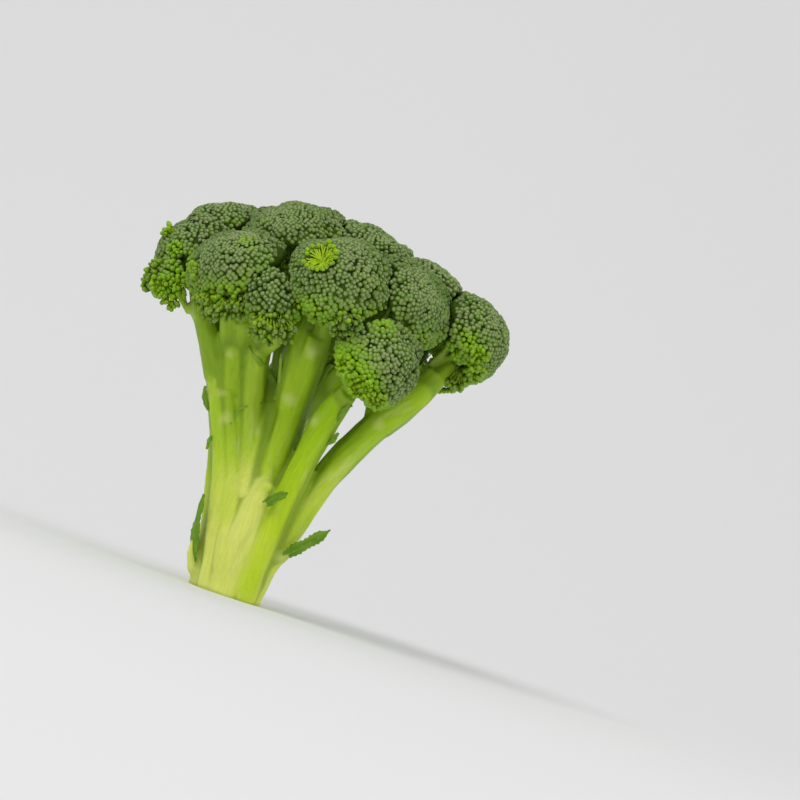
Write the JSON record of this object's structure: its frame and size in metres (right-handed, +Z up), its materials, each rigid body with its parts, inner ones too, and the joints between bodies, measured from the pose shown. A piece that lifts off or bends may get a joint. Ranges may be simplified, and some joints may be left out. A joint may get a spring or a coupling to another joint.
{
  "type": "broccoli head",
  "caption": "Cut head of broccoli: a branching pale stalk under a dense dome of green bud florets, with small leaves.",
  "frame": {"origin": "middle of the flat cut at the bottom of the stalk", "axes": "+Z up the stalk to the crown, -Y towards the side that the picture shows, +X to that view's right"},
  "size_m": [0.1757, 0.1454, 0.1901],
  "materials": {
    "stalk": "satin",
    "buds": "matte",
    "leaf": "satin"
  },
  "bodies": {
    "root": {"stalk": "stalk", "floret_left_top": "buds", "floret_left": "buds", "floret_left_low": "buds", "floret_front_left": "buds", "floret_skirt": "buds", "floret_front": "buds", "floret_front_right": "buds", "floret_front_low": "buds", "floret_top_left": "buds", "floret_top_right": "buds", "floret_right_top": "buds", "floret_right": "buds", "floret_right_inner": "buds", "floret_right_back": "buds", "floret_top_back": "buds", "floret_back_left": "buds", "floret_back": "buds", "floret_back_right": "buds", "floret_back_low": "buds", "leaf_left": "leaf", "leaf_right": "leaf", "leaf_front": "leaf"}
  },
  "joints": []
}
